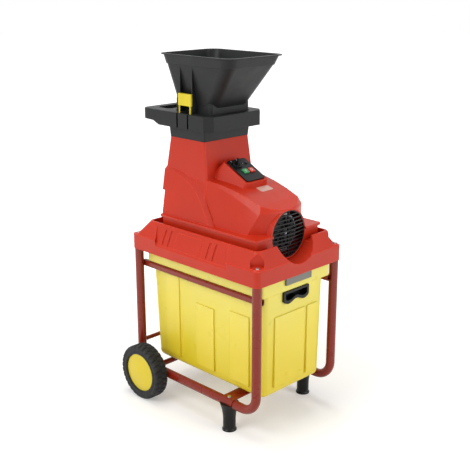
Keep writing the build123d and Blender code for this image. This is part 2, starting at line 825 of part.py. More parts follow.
with BuildPart() as motor_bearings:
    for y in (motor_y0 - end_t, motor_y1):
        rod_y(y, y + end_t, bearing_r, 0, motor_z)
        rod_y(y, y + end_t, motor_shaft_d / 2 + run_clear, 0, motor_z, Mode.SUBTRACT)
save("motor_bearings", motor_bearings.part)

with BuildPart() as motor_rotor:
    rod_y(motor_y0 + 8, motor_y1 - 8, rotor_r, 0, motor_z)
    rod_y(grille_seat + 4, fast_y + 1, motor_shaft_d / 2, 0, motor_z)
save("motor_rotor", motor_rotor.part)

with BuildPart() as cooling_fan:
    fan_y = motor_y0 - end_t - 1
    rod_y(fan_y - 9, fan_y, 13, 0, motor_z)
    rod_y(fan_y - 2, fan_y, fan_r, 0, motor_z)
    with BuildSketch(at_y(fan_y - 1)):
        with Locations((0, motor_z)):
            with PolarLocations(fan_r / 2 + 5, 9):
                Rectangle(fan_r - 12, 2, rotation=25)
    extrude(amount=8)
    rod_y(fan_y - 20, fan_y + 1, motor_shaft_d / 2, 0, motor_z, Mode.SUBTRACT)
save("cooling_fan", cooling_fan.part)

# Two half rings that hold the motor in the deck's cradle
with BuildPart() as motor_saddles:
    for y in (-112, -84):
        rod_y(y, y + 10, trough_r - fit, 0, motor_z)
        rod_y(y, y + 10, motor_r, 0, motor_z, Mode.SUBTRACT)
        block(-80, 80, y, y + 10, gutter_z - 2, motor_z + 80, Mode.SUBTRACT)
save("motor_saddles", motor_saddles.part)

# ---------------------------------------------------------------- gears
fast_distance = module_fast * (teeth_pinion + teeth_fast) / 2
slow_distance = module_slow * (teeth_pinion + teeth_slow) / 2
axes_distance = hypot(roller_x, roller_z - motor_z)
axes_angle = degrees(atan2(roller_z - motor_z, roller_x))
swing = degrees(
    acos(
        (fast_distance**2 + axes_distance**2 - slow_distance**2)
        / (2 * fast_distance * axes_distance)
    )
)
idler_angle = axes_angle - swing
idler_x = fast_distance * cos(radians(idler_angle))
idler_z = motor_z + fast_distance * sin(radians(idler_angle))
output_angle = degrees(atan2(roller_z - idler_z, roller_x - idler_x))

with BuildPart() as motor_pinion:
    gear(fast_y - fast_w, fast_y, teeth_pinion, module_fast, idler_angle, 0, motor_z)
    rod_y(fast_y - 30, fast_y + 1, motor_shaft_d / 2, 0, motor_z, Mode.SUBTRACT)
save("motor_pinion", motor_pinion.part)

with BuildPart() as intermediate_gear:
    turn = idler_angle + 180 + 180 / teeth_fast
    gear(fast_y - fast_w, fast_y, teeth_fast, module_fast, turn, idler_x, idler_z)
    gear(fast_y, slow_y, teeth_pinion, module_slow, output_angle, idler_x, idler_z)
    rod_y(gearbox_front - 2, gearbox_rear - 2, 5, idler_x, idler_z)
save("intermediate_gear", intermediate_gear.part)

with BuildPart() as output_gear:
    turn = output_angle + 180 + 180 / teeth_slow
    gear(slow_y - slow_w, slow_y, teeth_slow, module_slow, turn, roller_x, roller_z)
    rod_y(-60, 0, roller_shaft_d / 2, roller_x, roller_z, Mode.SUBTRACT)
save("output_gear", output_gear.part)

with BuildPart() as gearbox_case:
    block(case_x0, case_x1, gearbox_front, gearbox_rear, gutter_z, case_top, corner=1)
    block(
        case_x0 + case_wall,
        case_x1 - case_wall,
        gearbox_front - 1,
        gearbox_rear - case_wall,
        gutter_z + case_wall,
        case_top - case_wall,
        Mode.SUBTRACT,
    )
    rod_y(gearbox_rear - 10, gearbox_rear + 1, bearing_r + 4, roller_x, roller_z, Mode.SUBTRACT)
    rod_y(-14, gearbox_rear - 1.8, 5 + run_clear, idler_x, idler_z, Mode.SUBTRACT)
save("gearbox_case", gearbox_case.part)

with BuildPart() as gearbox_cover:
    block(case_x0, case_x1, cover_front, gearbox_front, gutter_z, case_top, corner=1)
    rod_y(cover_front - 1, gearbox_front + 1, 12, 0, motor_z, Mode.SUBTRACT)
    rod_y(gearbox_front - 2.2, gearbox_front + 1, 5 + run_clear, idler_x, idler_z, Mode.SUBTRACT)
save("gearbox_cover", gearbox_cover.part)

# ---------------------------------------------------------------- cutting unit
with BuildPart() as roller_shaft:
    rod_y(slow_y - slow_w - 1, chamber_y1 + 4, roller_shaft_d / 2, roller_x, roller_z)
save("roller_shaft", roller_shaft.part)

with BuildPart() as cutting_roller:
    with BuildSketch(at_y(discharge_y1)):
        with BuildLine():
            corners = []
            for tooth in range(roller_teeth):
                a = 2 * pi * tooth / roller_teeth
                for r, lead in ((roller_r, 0), (roller_r - 10, 0.12), (roller_r - 7, 0.55)):
                    x, z = r * cos(a + lead), r * sin(a + lead)
                    corners.append((roller_x + x, roller_z + z))
            Polyline(corners, close=True)
        make_face()
    extrude(amount=discharge_y1 - discharge_y0)
    grooves = 7
    for groove in range(1, grooves):
        y = discharge_y0 + groove * (discharge_y1 - discharge_y0) / grooves
        rod_y(y - 2, y + 2, roller_r + 2, roller_x, roller_z, Mode.SUBTRACT)
        rod_y(y - 2, y + 2, roller_r - 8, roller_x, roller_z)
    rod_y(0, 200, roller_shaft_d / 2, roller_x, roller_z, Mode.SUBTRACT)
save("cutting_roller", cutting_roller.part)

bush_r = 15.0
with BuildPart() as roller_bearings:
    for y in (chamber_y0, chamber_y1 - chamber_wall, gearbox_rear - 4):
        width = 4 if y < 0 else chamber_wall
        rod_y(y, y + width, bush_r, roller_x, roller_z)
        clear = roller_shaft_d / 2 + run_clear
        rod_y(y, y + width, clear, roller_x, roller_z, Mode.SUBTRACT)
save("roller_bearings", roller_bearings.part)

inner_x = chamber_x - chamber_side
with BuildPart() as cutter_chamber:
    block(-chamber_x, chamber_x, chamber_y0, chamber_y1, gutter_z, chamber_top)
    block(-80, 80, waist_y0 + 8, waist_y1 - 20, chamber_top - 4, chamber_top)
    block(
        -inner_x,
        inner_x,
        chamber_y0 + chamber_wall,
        chamber_y1 - chamber_wall,
        gutter_z - 1,
        chamber_top + 1,
        Mode.SUBTRACT,
    )
    rod_y(chamber_y0 - 1, chamber_y1 + 1, bush_r, roller_x, roller_z, Mode.SUBTRACT)
    rod_x(inner_x - 1, chamber_x + 1, screw_r + run_clear, adjuster_y, roller_z, Mode.SUBTRACT)
save("cutter_chamber", cutter_chamber.part)

# Plate that the branches are crushed against, moved by the adjuster screw
plate_x = roller_x + roller_r + plate_gap
screw_tip = plate_x + 9.0
plate_y0 = chamber_y0 + chamber_wall + fit
plate_y1 = chamber_y1 - chamber_wall - fit
with BuildPart() as counter_plate:
    block(plate_x, plate_x + plate_t, plate_y0, plate_y1, roller_z - 26, roller_z + 26)
    bore = screw_tip - plate_travel - 2 * fit
    rod_x(bore, plate_x + plate_t + 1, screw_r + run_clear, adjuster_y, roller_z, Mode.SUBTRACT)
save("counter_plate", counter_plate.part)

with BuildPart() as adjuster_knob:
    rod_x(screw_tip, knob_x + 1, screw_r, adjuster_y, roller_z)
    rod_x(chamber_x + fit, chamber_x + 3, screw_r + 3, adjuster_y, roller_z)
    rod_x(knob_x, knob_x + 10, knob_r, adjuster_y, roller_z)
    with BuildSketch(at_x(knob_x)):
        with Locations((adjuster_y, roller_z)):
            with PolarLocations(knob_r + 2, 6):
                Circle(5)
    extrude(amount=10, mode=Mode.SUBTRACT)
save("adjuster_knob", adjuster_knob.part)


# ---------------------------------------------------------------- collar and hopper
def ring_outline(half, y0, y1, cut):
    """Plan of the collar's ring: square front corners cut off, rear corners rounded."""
    with BuildSketch(Plane.XY) as plan:
        with BuildLine():
            FilletPolyline((half, y0 + cut), (half, y1), (-half, y1), (-half, y0 + cut), radius=22)
            Polyline((-half, y0 + cut), (-half + cut, y0), (half - cut, y0), (half, y0 + cut))
        make_face()
    return plan.sketch


tongue_y0, tongue_y1 = latch_y - latch_w / 2, latch_y + latch_w / 2
with BuildPart() as collar:
    ring = ring_outline(collar_x, collar_y0, handle_y, collar_cut)
    extrude(ring.moved(Location((0, 0, collar_ring_z))), amount=collar_top - collar_ring_z)
    fillet(collar.edges().group_by(Axis.Z)[-1], 2.5)
    # the handle is thinner than the ring, its underside sloping up
    with BuildSketch(Plane.YZ.offset(-collar_x - 1)) as slope:
        with BuildLine():
            Polyline(
                (chute_y1 + 22, collar_ring_z),
                (handle_hole_y0 + 28, collar_ring_z + 10),
                (handle_y + 1, collar_ring_z + 12),
                (handle_y + 1, collar_ring_z - 1),
                (chute_y1 + 22, collar_ring_z - 1),
                close=True,
            )
        make_face()
    extrude(slope.sketch, amount=2 * collar_x + 2, mode=Mode.SUBTRACT)
    # sleeve on the chute
    frustum(
        (
            (collar_bottom, chute_x + 0.5, chute_y0 - 0.5, chute_y1 + 0.5),
            (collar_ring_z + 1, chute_x + 2.5, chute_y0 - 4, chute_y1 + 3),
        ),
        4,
    )
    # way through for the branches, with a step that the hopper's throat stands on
    seat = collar_top - 22
    fit_x, fit_y0, fit_y1 = throat_x + hopper_fit, throat_y0 + 6 - hopper_fit, throat_y1 + hopper_fit
    block(-fit_x, fit_x, fit_y0, fit_y1, seat, collar_top + 1, Mode.SUBTRACT, corner=8)
    block(-66, 66, chute_y0 + 8, fit_y1 - 8, collar_bottom - 1, seat + 1, Mode.SUBTRACT)
    # hand hole of the carrying handle
    hole_x = handle_hole_x
    block(-hole_x, hole_x, handle_hole_y0, handle_hole_y1, 700, 900, Mode.SUBTRACT, corner=14)
    # slots either side of a tongue on the left, for the latch
    for y in (tongue_y0, tongue_y1):
        slot_x = latch_in + 3
        block(-collar_x - 1, -slot_x, y - 3, y + 3, collar_ring_z + 1, collar_top + 1, Mode.SUBTRACT)
    # spigot down inside the chute
    block(-79.8, 79.8, chute_y0 + 4.2, chute_y1 - 4.2, collar_bottom - 5, collar_bottom)
    block(-76, 76, chute_y0 + 8, chute_y1 - 8, collar_bottom - 6, collar_bottom, Mode.SUBTRACT)
save("collar", collar.part)


def hopper_solid(inset):
    """Outside of the hopper, or its inside when inset by the wall."""
    grow = -inset
    with BuildPart() as solid:
        # square throat whose corners die away into the funnel
        x, y0, y1 = throat_x + grow, throat_y0 + 6 - grow, throat_y1 + grow
        frustum(
            (
                (seat + fit - inset, x, y0, y1, throat_corner + grow),
                (throat_top, x, y0, y1, throat_corner + grow),
                (throat_top + throat_blend, x, y0, y1, funnel_corner + grow),
            )
        )
        # funnel, round at the corners, so its flat sides cut the throat in a low arch
        frustum(
            (
                (throat_top - 16, x - 1, y0 + 1, y1 - 1, funnel_corner + grow),
                (ledge_z + inset, ledge_x + grow, ledge_y0 - grow, ledge_y1 + grow, funnel_corner + grow),
            )
        )
        frustum(
            (
                (
                    ledge_z + inset,
                    ledge_x + ledge_step + grow,
                    ledge_y0 - ledge_step - grow,
                    ledge_y1 + ledge_step + grow,
                ),
                (rim_z + 2 * inset, mouth_x - 5 + grow, mouth_y0 + 6 - grow, mouth_y1 - 5 + grow),
            ),
            funnel_corner + ledge_step + grow,
        )
    return solid.part


with BuildPart() as hopper:
    add(hopper_solid(0))
    # rolled lip round the mouth
    block(-mouth_x, mouth_x, mouth_y0, mouth_y1, rim_z - 2.5, rim_z, corner=funnel_corner + 6)
    # two fins down the left side, which guide the latch
    for y in (tongue_y0 - 4, tongue_y1 + 1):
        with BuildSketch(at_y(y + 3)) as fin:
            with BuildLine():
                Polyline(
                    (-throat_x + 1, collar_top + 2),
                    (-throat_x + 1, ledge_z - 4),
                    (-ledge_x + 1, ledge_z - 4),
                    (-latch_in - 3, throat_top + 20),
                    (-latch_in - 3, collar_top + 2),
                    close=True,
                )
            make_face()
        extrude(fin.sketch, amount=3)
    add(hopper_solid(hopper_wall), mode=Mode.SUBTRACT)
save("hopper", hopper.part)

# Latch that slides down the hopper's fins, its two prongs entering the collar's slots
with BuildPart() as latch:
    latch_z0 = collar_top + 20
    latch_z1 = latch_z0 + 32
    y0, y1 = tongue_y0 - 4 - fit, tongue_y1 + 4 + fit
    block(-latch_in - 9, -latch_in - 3 - fit, y0, y1, latch_z0, latch_z1)
    # shoe that runs between the fins
    y0, y1 = tongue_y0 - 1 + fit, tongue_y1 + 1 - fit
    block(-latch_in - 4, -latch_in + 2, y0, y1, latch_z0 + 4, latch_z1 - 4)
    for y in (tongue_y0, tongue_y1):
        low = collar_top - latch_grip
        block(-latch_in - 9, -latch_in - 5, y - 2, y + 2, low, latch_z0)
    fillet(latch.edges().filter_by(Axis.Z).group_by(Axis.X)[0], 1.5)
save("latch", latch.part)

# ---------------------------------------------------------------- control panel
with BuildPart() as control_panel:
    with BuildSketch(panel_plane.offset(fit)) as outline:
        RectangleRounded(panel_w, panel_l, 6)
    extrude(outline.sketch, amount=panel_t)
    with BuildSketch(panel_plane.offset(-2)) as window:
        with Locations((start_u, button_v), (stop_u, button_v)):
            RectangleRounded(button_w + 1, button_w + 1, 2)
        with Locations((dial_u, dial_v)):
            Circle(4 + run_clear)
        with Locations((reset_u, reset_v)):
            Circle(4 + run_clear)
    extrude(window.sketch, amount=panel_t + 4, mode=Mode.SUBTRACT)
save("control_panel", control_panel.part)


def button(u):
    """Square push button with a flange under the panel and a stem into the switch."""
    with BuildPart() as cap:
        with BuildSketch(panel_plane.offset(-6)) as face:
            with Locations((u, button_v)):
                RectangleRounded(button_w, button_w, 1.5)
        extrude(face.sketch, amount=6 + panel_t + 3.5)
        with BuildSketch(panel_plane.offset(-6)) as flange:
            with Locations((u, button_v)):
                RectangleRounded(button_w + 3, button_w + 3, 1.5)
        extrude(flange.sketch, amount=5.5)
    return cap.part


save("start_button", button(start_u))
save("stop_button", button(stop_u))

with BuildPart() as reset_button:
    for depth, r, height in ((-6, 4, 6 + panel_t + 3), (-6, 6, 5.5)):
        with BuildSketch(panel_plane.offset(depth)) as face:
            with Locations((reset_u, reset_v)):
                Circle(r)
        extrude(face.sketch, amount=height)
save("reset_button", reset_button.part)

with BuildPart() as direction_knob:
    with BuildSketch(panel_plane.offset(-8)) as stem:
        with Locations((dial_u, dial_v)):
            Circle(4)
    extrude(stem.sketch, amount=8 + panel_t + 2)
    with BuildSketch(panel_plane.offset(fit + panel_t + fit)) as skirt:
        with Locations((dial_u, dial_v)):
            Circle(15)
    extrude(skirt.sketch, amount=4, taper=8)
    with BuildSketch(panel_plane.offset(fit + panel_t + 2)) as grip:
        with Locations((dial_u, dial_v)):
            SlotOverall(27, 8, rotation=60)
    extrude(grip.sketch, amount=11, taper=4)
save("direction_knob", direction_knob.part)

# Switch block under the panel, which holds the switches and the button springs
with BuildPart() as switch_block:
    with BuildSketch(panel_plane.offset(-10)) as base:
        Rectangle(panel_w - 12, panel_l - 12)
    extrude(base.sketch, amount=-13)
    with BuildSketch(panel_plane.offset(-10)) as posts:
        with Locations((-28, 0), (28, 0)):
            Rectangle(4, 30)
    extrude(posts.sketch, amount=10)
save("switch_block", switch_block.part)

# ---------------------------------------------------------------- collection box
def box_solid(inset):
    """Outside of the box, or its inside when inset by the wall."""
    grow = -inset
    with BuildPart() as solid:
        top = slide_rail_top + box_clear
        frustum(
            (
                (
                    box_bottom + inset,
                    box_x - box_taper + grow,
                    box_y0 + box_taper - grow,
                    box_y1 - 14 + grow,
                ),
                (top + 3 + inset, box_x + grow, box_y0 - grow, box_y1 + grow),
            ),
            20 + grow,
        )
        fillet(solid.edges().group_by(Axis.Z)[0], 16 - inset)
        high = top + box_flange_h
        x, y0, y1 = box_flange_x - inset, box_flange_y0 + inset, box_flange_y1 - inset
        block(-x, x, y0, y1, top + inset, high + inset, corner=10 - inset)
    return solid.part


rib_top = slide_rail_top - slide_rail_h - 4
front_rib_top = grip_z0 - 34
with BuildPart() as collection_box:
    add(box_solid(0))
    # upright pressed ribs on both sides and the ends
    for side in (-1, 1):
        for y0, y1, low in side_ribs:
            x0, x1 = sorted((side * (box_x - box_taper - 1), side * (box_x + rib_rise)))
            block(x0, x1, y0, y1, box_bottom + rib_foot, rib_top - low)
    for x0, x1 in front_ribs:
        block(x0, x1, box_y0 - rib_rise, box_y0 + box_taper + 1, box_bottom + rib_foot, front_rib_top)
    add(box_solid(box_wall), mode=Mode.SUBTRACT)
    # hand hole in the front for the handle cup, and the slider's slot
    block(-grip_x, grip_x, box_y0 - 12, box_y0 + 12, grip_z0, grip_z1, Mode.SUBTRACT)
    for x in (-peg_x, peg_x):
        low = slider_z + 6 - fit
        block(x - 5 - fit, x + 5 + fit, box_flange_y0 - 1, box_flange_y0 + 8, low, 500, Mode.SUBTRACT)
save("collection_box", collection_box.part)

# Black handle cup set in the front of the box
with BuildPart() as box_handle:
    block(-grip_x + fit, grip_x - fit, box_y0 - 1, box_y0 + 16, grip_z0 + fit, grip_z1 - fit)
    with BuildSketch(at_y(box_y0 - fit)) as lip:
        with BuildLine():
            left, right = -grip_x - 4, grip_x + 4
            high, low = grip_z1 + 3, grip_z0 - 5
            Polyline((left, low + 9), (left, high), (right, high), (right, low + 9))
            Spline(
                (right, low + 9),
                (right - 10, low + 1),
                (grip_x / 2 + 2, low),
                (0, low + 8),
                (-grip_x / 2 - 2, low),
                (left + 10, low + 1),
                (left, low + 9),
            )
        make_face()
    extrude(lip.sketch, amount=grip_lip)
    with BuildSketch(at_y(box_y0 + 13)) as hollow:
        with BuildLine():
            left, right = -grip_x + 3, grip_x - 3
            high, low = grip_z1 - 3, grip_z0 + 4
            Polyline((left, low + 4), (left, high), (right, high), (right, low + 4))
            Spline(
                (right, low + 4),
                (grip_x / 2, low),
                (0, low + 7),
                (-grip_x / 2, low),
                (left, low + 4),
            )
        make_face()
    extrude(hollow.sketch, amount=13 + grip_lip + 1, mode=Mode.SUBTRACT)
save("box_handle", box_handle.part)

# Box lock, a grey plate that slides up behind the deck's skirt
with BuildPart() as lock_slider:
    face_y = box_flange_y0 - fit
    z0 = slider_z
    block(-slider_w / 2, slider_w / 2, face_y - slider_t, face_y, z0, z0 + slider_h)
    for x in (-peg_x, peg_x):
        block(x - 5, x + 5, face_y - 0.5, box_flange_y0 + box_wall + 2, z0 + 6, z0 + 14)
save("lock_slider", lock_slider.part)

# Switch on the deck that the raised lock presses
with BuildPart() as safety_switch:
    low = slider_z + slider_h + slider_travel + 0.5
    front = skirt_y0 + deck_wall
    block(-14, 14, front, front + 18, low, motor_z - trough_r - deck_wall)
save("safety_switch", safety_switch.part)
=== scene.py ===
"""Looks of an electric garden shredder: materials, small trim, floor, light and camera.

Everything is in metres in the frame of the CAD part: X across, -Y the front, +Z up.
"""

import json
from math import cos, pi, radians, sin

import bmesh
import bpy
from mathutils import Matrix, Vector


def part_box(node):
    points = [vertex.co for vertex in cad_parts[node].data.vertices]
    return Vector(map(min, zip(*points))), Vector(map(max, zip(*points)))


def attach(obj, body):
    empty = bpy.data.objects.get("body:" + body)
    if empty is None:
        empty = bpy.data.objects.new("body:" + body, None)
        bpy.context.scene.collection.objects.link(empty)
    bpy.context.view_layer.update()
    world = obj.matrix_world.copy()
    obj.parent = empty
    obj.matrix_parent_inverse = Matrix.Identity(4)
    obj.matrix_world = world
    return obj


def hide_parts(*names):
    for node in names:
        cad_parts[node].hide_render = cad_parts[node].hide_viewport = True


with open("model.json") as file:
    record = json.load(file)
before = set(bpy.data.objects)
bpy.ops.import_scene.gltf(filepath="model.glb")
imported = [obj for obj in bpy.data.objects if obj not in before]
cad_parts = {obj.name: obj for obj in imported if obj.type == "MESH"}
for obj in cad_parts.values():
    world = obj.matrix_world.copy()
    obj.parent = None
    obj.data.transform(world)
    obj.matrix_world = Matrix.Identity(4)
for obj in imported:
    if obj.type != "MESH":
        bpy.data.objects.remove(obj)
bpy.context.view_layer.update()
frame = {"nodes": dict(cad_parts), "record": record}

MM = 0.001
PANEL_SLOPE = 27.5             # degrees, of the control panel's face
KNOB_TURN = -30                # degrees, of the line on the direction knob
KNOB_TICKS = (-90, -30, 30)    # degrees, of the ticks round the direction knob
TICK_RADIUS = 19 * MM
LABEL_X = (-0.010, 0.036)      # blank label on the hood, in front of the control panel
LABEL_Y = (-0.119, -0.095)


# ---------------------------------------------------------------- shader helpers
class Nodes:
    """Short ways to add and join the shader nodes of one material."""

    def __init__(self, name):
        self.material = bpy.data.materials.new(name)
        self.material.use_nodes = True
        self.tree = self.material.node_tree
        self.tree.nodes.clear()
        self.output = self.tree.nodes.new("ShaderNodeOutputMaterial")
        self.place = self.tree.nodes.new("ShaderNodeTexCoord").outputs["Object"]

    def add(self, kind, **values):
        """New node of a kind, with its properties and its unlinked inputs set."""
        node = self.tree.nodes.new("ShaderNode" + kind)
        for key, value in values.items():
            if hasattr(node, key):
                setattr(node, key, value)
            else:
                node.inputs[key.replace("_", " ")].default_value = value
        return node

    def link(self, source, target):
        self.tree.links.new(source, target)

    def noise(self, scale, detail=3.0, rough=0.5, stretch=None):
        """Noise factor at a scale in repeats per metre, stretched along an axis if asked."""
        place = self.place
        if stretch:
            mapping = self.add("Mapping")
            mapping.inputs["Scale"].default_value = stretch
            self.link(place, mapping.inputs["Vector"])
            place = mapping.outputs["Vector"]
        node = self.add("TexNoise", Scale=scale, Detail=detail, Roughness=rough)
        self.link(place, node.inputs["Vector"])
        return node.outputs["Fac"]

    def ramp(self, factor, stops):
        """Colour ramp through (position, colour) stops."""
        node = self.add("ValToRGB")
        elements = node.color_ramp.elements
        while len(elements) < len(stops):
            elements.new(0.5)
        for element, (position, colour) in zip(elements, stops):
            element.position = position
            element.color = (*colour, 1)
        self.link(factor, node.inputs["Fac"])
        return node.outputs["Color"]

    def span(self, factor, low, high, to_low, to_high):
        """A factor moved from one range to another."""
        node = self.add("MapRange")
        sockets = ("From Min", "From Max", "To Min", "To Max")
        for socket, value in zip(sockets, (low, high, to_low, to_high)):
            node.inputs[socket].default_value = value
        self.link(factor, node.inputs["Value"])
        return node.outputs["Result"]

    def mix(self, factor, first, second):
        """Mix of two colours, each a socket or a plain colour."""
        node = self.add("Mix", data_type="RGBA")
        self.link(factor, node.inputs[0])
        for socket, value in zip([s for s in node.inputs if s.type == "RGBA"], (first, second)):
            if isinstance(value, tuple):
                socket.default_value = (*value, 1)
            else:
                self.link(value, socket)
        return [s for s in node.outputs if s.type == "RGBA"][0]

    def edges(self, radius):
        """Rounded normal, and a factor that is 1 on the edges and 0 on the faces."""
        bevel = self.add("Bevel", samples=4, Radius=radius)
        geometry = self.add("NewGeometry")
        dot = self.add("VectorMath", operation="DOT_PRODUCT")
        self.link(bevel.outputs["Normal"], dot.inputs[0])
        self.link(geometry.outputs["Normal"], dot.inputs[1])
        return bevel.outputs["Normal"], self.span(dot.outputs["Value"], 1.0, 0.85, 0.0, 1.0)

    def bump(self, height, strength, distance, normal):
        """Normal with a height laid over it."""
        node = self.add("Bump", Strength=strength, Distance=distance)
        self.link(height, node.inputs["Height"])
        self.link(normal, node.inputs["Normal"])
        return node.outputs["Normal"]

    def principled(self, colour, rough, normal, **values):
        """Principled surface with its fixed inputs set on their own sockets."""
        shader = self.add("BsdfPrincipled")
        for key, value in values.items():
            shader.inputs[key.replace("_", " ")].default_value = value
        self.link(colour, shader.inputs["Base Color"])
        self.link(rough, shader.inputs["Roughness"])
        self.link(normal, shader.inputs["Normal"])
        self.link(shader.outputs["BSDF"], self.output.inputs["Surface"])
        return self.material


def hex_colour(text):
    """Linear colour of an sRGB hex code."""
    parts = [int(text[i : i + 2], 16) / 255 for i in (0, 2, 4)]
    return tuple(c / 12.92 if c <= 0.04045 else ((c + 0.055) / 1.055) ** 2.4 for c in parts)


def shade(colour, factor):
    """Colour made lighter or darker, kept within white."""
    return tuple(min(1.0, c * factor) for c in colour)


def moulded(name, colour, rough=0.4, grain=900.0, depth=0.00006, edge=0.0012, painted_edge_highlight=1.35, **values):
    """Moulded plastic: slow colour drift, fine grain in the tool's surface, and edges made paler as a
    painted highlight.
    """
    n = Nodes(name)
    base = hex_colour(colour)
    drift = n.ramp(n.noise(7.0, 2.0), [(0.3, shade(base, 0.93)), (0.7, shade(base, 1.05))])
    normal, on_edge = n.edges(edge)
    # Painted highlight: the edges are mixed towards a paler copy of the base colour.
    surface = n.mix(n.span(on_edge, 0.0, 0.6, 0.0, 0.6), drift, shade(base, painted_edge_highlight))
    roughness = n.span(n.noise(35.0, 4.0), 0.3, 0.7, rough - 0.04, rough + 0.05)
    bumped = n.bump(n.noise(grain, 2.0, 0.6), 0.5, depth, normal)
    return n.principled(surface, roughness, bumped, **values)


def painted_steel(name, colour):
    """Gloss powder coat on tube: orange peel in the coat and a clear top."""
    n = Nodes(name)
    base = hex_colour(colour)
    drift = n.ramp(n.noise(4.0, 1.0), [(0.3, shade(base, 0.94)), (0.7, shade(base, 1.05))])
    roughness = n.span(n.noise(60.0, 3.0), 0.3, 0.7, 0.26, 0.32)
    normal, on_edge = n.edges(0.0008)
    # Painted highlight: the edges are mixed a little towards a paler copy of the base colour.
    surface = n.mix(n.span(on_edge, 0.0, 1.0, 0.0, 0.1), drift, shade(base, 1.25))
    bumped = n.bump(n.noise(260.0, 1.0), 0.08, 0.00003, normal)
    return n.principled(
        surface, roughness, bumped, Specular_IOR_Level=0.3, Coat_Weight=0.2, Coat_Roughness=0.1
    )


def clear_yellow(name, low_colour, colour, high_colour):
    """Thin yellow polyethylene: light passes a little way in, the gloss is uneven, and painted shade
    makes it deep yellow low down and pale high up.
    """
    n = Nodes(name)
    deep, base, pale = (hex_colour(code) for code in (low_colour, colour, high_colour))
    # Painted shade and light: the colour runs from deep yellow low down to pale yellow high up, with
    # some noise mixed in.
    height = n.add("SeparateXYZ")
    n.link(n.place, height.inputs["Vector"])
    painted_shade_by_height = n.span(height.outputs["Z"], 0.10, 0.42, 0.0, 1.0)
    wander = n.add("Mix")
    n.link(painted_shade_by_height, wander.inputs["A"])
    n.link(n.noise(6.0, 2.0), wander.inputs["B"])
    wander.inputs[0].default_value = 0.35
    drift = n.ramp(wander.outputs[0], [(0.1, deep), (0.55, base), (0.95, pale)])
    normal, on_edge = n.edges(0.0022)
    # Painted highlight: the edges are mixed towards a paler copy of the base colour.
    surface = n.mix(n.span(on_edge, 0.0, 1.0, 0.0, 0.2), drift, shade(base, 1.25))
    roughness = n.span(n.noise(18.0, 4.0), 0.3, 0.7, 0.26, 0.38)
    wavy = n.bump(n.noise(9.0, 2.0), 0.2, 0.0006, normal)
    bumped = n.bump(n.noise(700.0, 2.0), 0.3, 0.00004, wavy)
    return n.principled(
        surface, roughness, bumped,
        Subsurface_Weight=0.25, Subsurface_Scale=0.006, Subsurface_Radius=(1.0, 0.8, 0.15),
        Specular_IOR_Level=0.35,
    )


def rubber(name, colour):
    """Tyre rubber with dust in its grain."""
    n = Nodes(name)
    base = hex_colour(colour)
    dusty = n.ramp(n.noise(140.0, 5.0, 0.6), [(0.35, base), (0.8, shade(base, 1.7))])
    roughness = n.span(n.noise(60.0, 3.0), 0.3, 0.7, 0.62, 0.8)
    normal, on_edge = n.edges(0.001)
    # Painted highlight: the edges are mixed towards a paler copy of the base colour.
    surface = n.mix(n.span(on_edge, 0.0, 1.0, 0.0, 0.3), dusty, shade(base, 2.2))
    bumped = n.bump(n.noise(1400.0, 3.0), 0.6, 0.0001, normal)
    return n.principled(surface, roughness, bumped)


def steel(name, colour, rough, stretch=(1.0, 1.0, 1.0), tone=0.12):
    """Bare or plated metal with machining lines stretched along one axis."""
    n = Nodes(name)
    base = hex_colour(colour)
    lines = n.noise(220.0, 4.0, 0.6, stretch)
    surface = n.ramp(lines, [(0.3, shade(base, 1 - tone)), (0.7, shade(base, 1 + tone))])
    roughness = n.span(lines, 0.3, 0.7, rough - 0.07, rough + 0.07)
    normal, _ = n.edges(0.0005)
    bumped = n.bump(lines, 0.3, 0.00003, normal)
    return n.principled(surface, roughness, bumped, Metallic=1.0)


# In each moulded finish, the number after the edge radius sets the strength of its painted edge
# highlight.
finishes = {
    "body_red": moulded(
        "body_red", "C22E14", 0.36, 900.0, 0.00005, 0.0024, 1.9, Specular_IOR_Level=0.3
    ),
    "frame_red": painted_steel("frame_red", "86220B"),
    "box_yellow": clear_yellow("box_yellow", "E8CE20", "F5E158", "F8EA80"),
    "hub_yellow": moulded("hub_yellow", "E4CC20", 0.34, 700.0, 0.00004, 0.0012, 1.2),
    "rim_black": moulded("rim_black", "1D1E20", 0.45, 900.0, 0.00006, 0.0010, 1.8),
    "tyre_black": rubber("tyre_black", "131417"),
    "black_textured": moulded(
        "black_textured", "1B1C1D", 0.46, 1100.0, 0.00018, 0.0016, 2.6, Specular_IOR_Level=0.25
    ),
    "black_plastic": moulded(
        "black_plastic", "0B0C0D", 0.34, 900.0, 0.00006, 0.0010, 2.0, Specular_IOR_Level=0.25
    ),
    "grey_plastic": moulded("grey_plastic", "77776F", 0.42, 900.0, 0.00006, 0.0010, 1.3),
    "green_plastic": moulded("green_plastic", "2E9A55", 0.3, 600.0, 0.00003, 0.0008, 1.3),
    "red_plastic": moulded("red_plastic", "D3301F", 0.3, 600.0, 0.00003, 0.0008, 1.3),
    "reset_black": moulded("reset_black", "202124", 0.42, 700.0, 0.00005, 0.0006, 1.8),
    "zinc_steel": steel("zinc_steel", "B9BDC2", 0.34, tone=0.08),
    "tool_steel": steel("tool_steel", "8E9196", 0.38, (1.0, 0.05, 1.0), 0.18),
    "cast_aluminium": steel("cast_aluminium", "A8ABAE", 0.5),
    "stator_iron": steel("stator_iron", "5D6066", 0.45, (1.0, 14.0, 1.0), 0.25),
}


slots = {row["node"]: row["material_slot"] for row in frame["record"]["subparts"]}


def dress_nodes():
    """Give each CAD node the finish of its slot in the record."""
    for name, node in frame["nodes"].items():
        node.data.materials.clear()
        node.data.materials.append(finishes[slots[name]])


dress_nodes()


